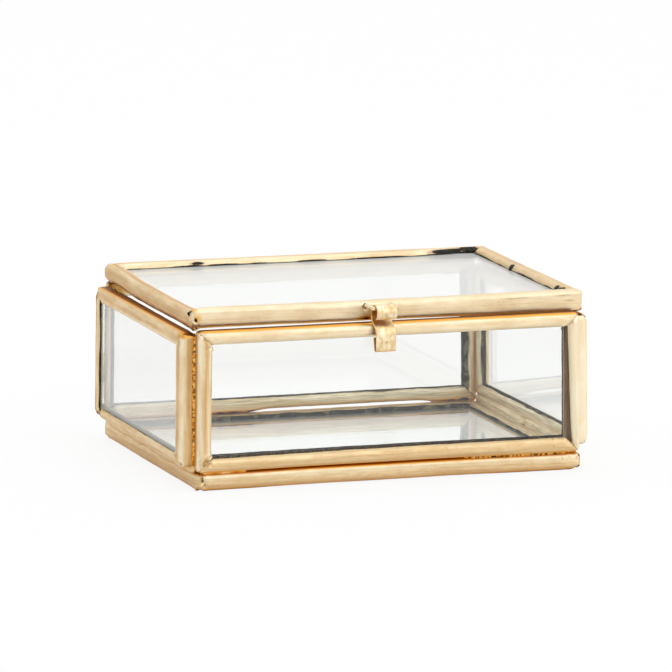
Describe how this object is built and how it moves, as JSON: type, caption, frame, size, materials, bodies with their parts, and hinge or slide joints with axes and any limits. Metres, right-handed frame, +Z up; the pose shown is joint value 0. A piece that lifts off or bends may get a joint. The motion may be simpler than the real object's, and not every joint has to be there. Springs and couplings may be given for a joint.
{
  "type": "glass casket box",
  "caption": "Rectangular keepsake box of clear glass panes edged in folded brass strip, with a hinged glass lid and a swinging front hasp.",
  "frame": {"origin": "under the middle of the whole object's footprint, hasp and hinges included, on the surface it stands on", "axes": "+X to the right when facing the hasp, +Y to the hinges at the rear, +Z up"},
  "size_m": [0.1062, 0.0784, 0.0444],
  "materials": {
    "strip": "satin, hand rubbed, darkened in the folds and at the lips",
    "glass": "clear, polished, faint grey-green at the edges",
    "solder": "rough brass-washed solder, dull and darkened",
    "hinge_tube": "satin",
    "wire": "drawn wire, satin",
    "hasp": "satin, hammered faintly uneven"
  },
  "bodies": {
    "box": {"front_glass": "glass", "rear_glass": "glass", "left_glass": "glass", "right_glass": "glass", "base_glass": "glass", "front_top_strip": "strip", "front_bottom_strip": "strip", "front_left_strip": "strip", "front_right_strip": "strip", "rear_top_strip": "strip", "rear_bottom_strip": "strip", "rear_left_strip": "strip", "rear_right_strip": "strip", "left_top_strip": "strip", "left_bottom_strip": "strip", "left_front_strip": "strip", "left_rear_strip": "strip", "right_top_strip": "strip", "right_bottom_strip": "strip", "right_front_strip": "strip", "right_rear_strip": "strip", "base_front_strip": "strip", "base_rear_strip": "strip", "base_left_strip": "strip", "base_right_strip": "strip", "corner_solder_front_left": "solder", "corner_solder_front_right": "solder", "corner_solder_rear_left": "solder", "corner_solder_rear_right": "solder", "front_seam_solder_left": "solder", "front_seam_solder_right": "solder", "rear_seam_solder_left": "solder", "rear_seam_solder_right": "solder", "left_seam_solder_front": "solder", "left_seam_solder_rear": "solder", "right_seam_solder_front": "solder", "right_seam_solder_rear": "solder", "left_hinge_outer_tube": "hinge_tube", "left_hinge_inner_tube": "hinge_tube", "left_hinge_wire": "wire", "right_hinge_outer_tube": "hinge_tube", "right_hinge_inner_tube": "hinge_tube", "right_hinge_wire": "wire"},
    "lid": {"lid_glass": "glass", "lid_front_strip": "strip", "lid_rear_strip": "strip", "lid_left_strip": "strip", "lid_right_strip": "strip", "left_hinge_lid_tube": "hinge_tube", "right_hinge_lid_tube": "hinge_tube", "hasp_staple": "wire"},
    "hasp": {"hasp": "hasp"}
  },
  "joints": [
    {"name": "lid_hinge", "type": "hinge", "parent": "box", "child": "lid", "pos_m": [0, 0.03786, 0.04115], "axis": [-1, 0, 0], "range_deg": [0, 190]},
    {"name": "hasp_swing", "type": "hinge", "parent": "lid", "child": "hasp", "pos_m": [-0.0029, -0.03721, 0.04335], "axis": [-1, 0, 0], "range_deg": [0, 244]}
  ]
}
